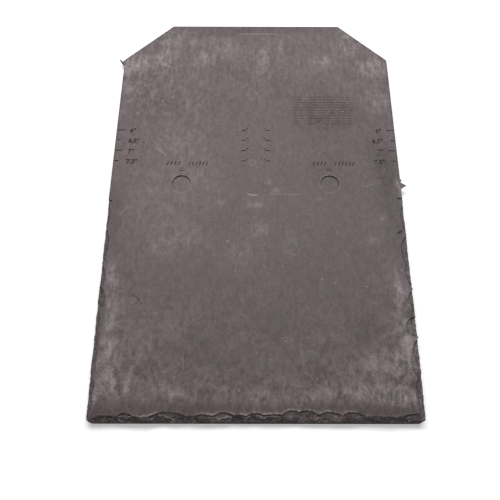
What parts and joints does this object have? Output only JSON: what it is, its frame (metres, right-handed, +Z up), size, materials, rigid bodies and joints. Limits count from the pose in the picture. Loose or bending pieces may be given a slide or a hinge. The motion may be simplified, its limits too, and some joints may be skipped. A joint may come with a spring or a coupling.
{
  "type": "synthetic slate tile",
  "caption": "Moulded composite roof tile made to look like slate: a tapered slab with clipped head corners, a chipped butt edge, gauge marks, nail seats and a ribbed underside.",
  "frame": {"origin": "centre of the tile's bounding box on its underside plane", "axes": "+X across the tile to its right, +Y from the butt to the clipped head, +Z up out of the weathered face"},
  "size_m": [0.3176, 0.445, 0.0119],
  "materials": {
    "slate_composite": "matte"
  },
  "bodies": {
    "root": {"slate_tile": "slate_composite"}
  },
  "joints": []
}
